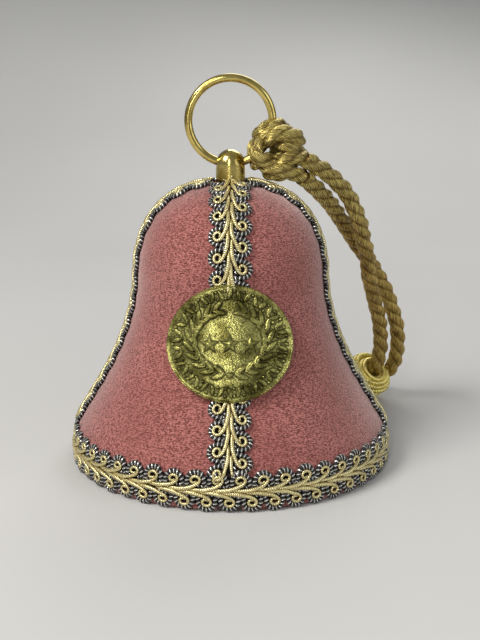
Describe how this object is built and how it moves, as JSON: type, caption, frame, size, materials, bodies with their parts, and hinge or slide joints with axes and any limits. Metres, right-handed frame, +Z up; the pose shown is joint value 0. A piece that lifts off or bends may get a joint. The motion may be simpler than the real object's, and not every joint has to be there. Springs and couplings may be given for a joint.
{
  "type": "musical bell ornament",
  "caption": "Velvet-covered musical bell ornament with braid trim, an oval medallion, a winding knob with a hanging ring, and a doubled twisted cord.",
  "frame": {"origin": "on the table under the bell's axis, level with the rim", "axes": "+Z up along the bell's axis, medallion facing -Y, cord falling to +X and +Y"},
  "size_m": [0.1148, 0.1125, 0.1194],
  "materials": {
    "shell_plastic": "moulded, plain",
    "velvet": "short-pile velvet, dusty rose",
    "braid": "metallic gold and black gimp braid with silver beading",
    "struck_brass": "struck relief, antiqued dark in the hollows",
    "polished_brass": "turned and polished",
    "steel": "bright",
    "gold_cord": "three-strand twisted metallic gold cord",
    "bullion": "beaded gold bullion cord",
    "cover_plastic": "moulded, fine grain",
    "nickel_plate": "nickel plated",
    "movement_brass": "stamped and turned"
  },
  "bodies": {
    "bell": {"bell_shell": "shell_plastic", "velvet_gore_1": "velvet", "velvet_gore_2": "velvet", "velvet_gore_3": "velvet", "velvet_gore_4": "velvet", "gimp_front": "braid", "gimp_right": "braid", "gimp_back": "braid", "gimp_left": "braid", "hem_gimp": "braid", "medallion": "struck_brass", "crown_bush": "polished_brass", "crown_nut": "steel", "base_cover": "cover_plastic", "base_cover_screws": "steel", "movement_platform": "cover_plastic", "platform_screws": "steel", "movement_bedplate": "nickel_plate", "movement_screws": "steel", "click_pin": "steel", "click_spring": "steel", "inner_bearing": "movement_brass", "outer_bearing": "movement_brass", "comb_block": "nickel_plate", "comb": "steel", "comb_screws": "steel", "fan_bracket": "movement_brass"},
    "winding": {"winding_knob": "polished_brass", "winding_stem": "steel", "ratchet_wheel": "steel", "cord_front": "gold_cord", "cord_rear": "gold_cord", "cord_end_knot": "bullion"},
    "ring": {"hanging_ring": "polished_brass", "cord_knot": "gold_cord"},
    "click": {"click": "steel"},
    "barrel": {"spring_barrel": "movement_brass", "great_wheel": "movement_brass", "mainspring": "steel"},
    "cylinder": {"music_cylinder": "movement_brass", "cylinder_arbor": "steel", "cylinder_pinion": "movement_brass", "cylinder_wheel": "movement_brass"},
    "governor": {"governor_arbor": "steel", "worm_wheel": "movement_brass"},
    "fan": {"governor_fan": "movement_brass"}
  },
  "joints": [
    {"name": "knob_turn", "type": "hinge", "parent": "bell", "child": "winding", "pos_m": [0, 0, 0.0877], "axis": [0, 0, 1], "continuous": true},
    {"name": "ring_swing", "type": "hinge", "parent": "winding", "child": "ring", "pos_m": [0, 0, 0.0931], "axis": [1, 0, 0], "range_deg": [-90, 50]},
    {"name": "click_lift", "type": "hinge", "parent": "bell", "child": "click", "pos_m": [-0.0093, 0.0037, 0.027], "axis": [0, 0, 1], "range_deg": [-10, 0], "stiffness_Nm_per_rad": 0.0005, "springref_deg": 11.46},
    {"name": "barrel_turn", "type": "hinge", "parent": "bell", "child": "barrel", "pos_m": [0, 0, 0.019], "axis": [0, 0, 1], "continuous": true},
    {"name": "cylinder_turn", "type": "hinge", "parent": "bell", "child": "cylinder", "pos_m": [0.0195, 0, 0.0215], "axis": [1, 0, 0], "continuous": true},
    {"name": "governor_turn", "type": "hinge", "parent": "bell", "child": "governor", "pos_m": [0.0275, 0.0067, 0.0215], "axis": [1, 0, 0], "continuous": true},
    {"name": "fan_spin", "type": "hinge", "parent": "bell", "child": "fan", "pos_m": [0.0285, 0.0102, 0.0215], "axis": [0, 0, 1], "continuous": true}
  ],
  "couplings": [
    {"joint": "cylinder_turn", "follows": "barrel_turn", "ratio": -4},
    {"joint": "governor_turn", "follows": "barrel_turn", "ratio": 16},
    {"joint": "fan_spin", "follows": "barrel_turn", "ratio": -320}
  ]
}
